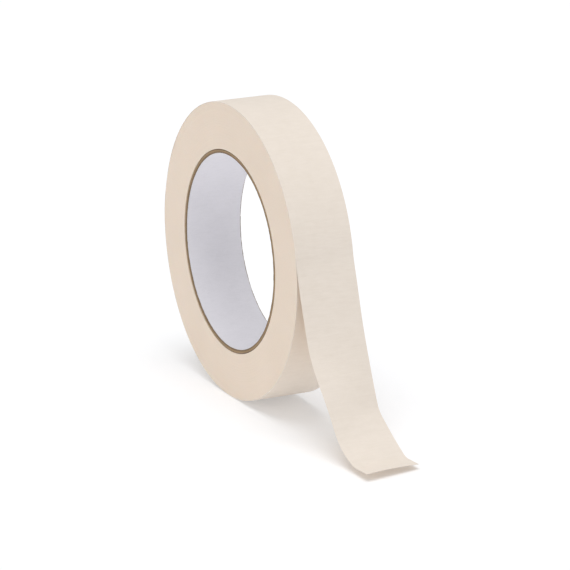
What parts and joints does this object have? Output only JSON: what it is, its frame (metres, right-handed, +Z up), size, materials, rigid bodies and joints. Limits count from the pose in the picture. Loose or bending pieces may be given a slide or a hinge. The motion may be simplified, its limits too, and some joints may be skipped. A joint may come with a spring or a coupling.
{
  "type": "masking tape roll",
  "caption": "Roll of cream crepe masking tape wound on a paper core, its free end hanging from the rim.",
  "frame": {"origin": "centre of the core's bore, halfway across the tape's width", "axes": "+Y along the roll's axis, +Z up, +X towards the side where the free end hangs down"},
  "size_m": [0.1707, 0.024, 0.1164],
  "materials": {
    "liner_paper": "smooth white paper, faintly calendered",
    "kraft_paper": "brown kraft paper, cut edge",
    "crepe_tape": "fine crepe paper, satin, tacky rubber adhesive on the inner side"
  },
  "bodies": {
    "wrap": {"outer_lap": "crepe_tape"},
    "roll": {"core_liner": "liner_paper", "core_ply_1": "kraft_paper", "core_ply_2": "kraft_paper", "core_ply_3": "kraft_paper", "core_ply_4": "kraft_paper", "tape_pack": "crepe_tape"},
    "tail": {"tape_tail": "crepe_tape"}
  },
  "joints": [
    {"name": "roll_spin", "type": "hinge", "parent": "wrap", "child": "roll", "pos_m": [0, 0, 0], "axis": [0, 1, 0], "continuous": true},
    {"name": "tail_lift", "type": "hinge", "parent": "wrap", "child": "tail", "pos_m": [0.05713, 0, 0.01111], "axis": [0, -1, 0], "range_deg": [0, 60]}
  ]
}
